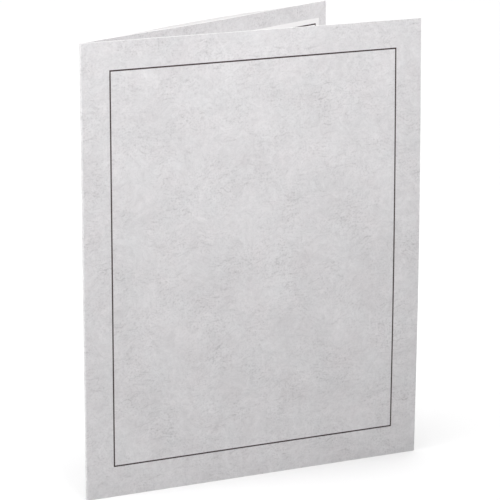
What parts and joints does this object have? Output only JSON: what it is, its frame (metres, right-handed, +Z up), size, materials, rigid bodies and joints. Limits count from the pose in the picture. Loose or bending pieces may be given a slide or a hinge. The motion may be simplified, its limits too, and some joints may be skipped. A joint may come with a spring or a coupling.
{
  "type": "photo folder",
  "caption": "Tall card photo folder that opens like a book, with a window frame and pocket for a print glued inside its back leaf; marbled grey card with thin dark keylines.",
  "frame": {"origin": "middle of the base of the folder's bounding box, on the surface it stands on", "axes": "+Z up along the spine; +X along the back leaf from the spine to its free edge; the front leaf opens towards -Y"},
  "size_m": [0.2424, 0.1054, 0.2985],
  "materials": {
    "marbled_card": "pale grey marbled print on smooth matt card with white cut edges",
    "white_print": "plain white matt print",
    "dark_line": "thin brownish black printed line, slightly satin"
  },
  "bodies": {
    "back_leaf": {"back_cover": "marbled_card", "window_frame": "marbled_card", "frame_white_border": "white_print", "frame_keyline": "dark_line"},
    "front_leaf": {"front_cover": "marbled_card", "cover_keyline": "dark_line"}
  },
  "joints": [
    {"name": "spine_fold", "type": "hinge", "parent": "back_leaf", "child": "front_leaf", "pos_m": [-0.12015, 0.04648, 0], "axis": [0, 0, -1], "range_deg": [-21.5, 156.5]}
  ]
}
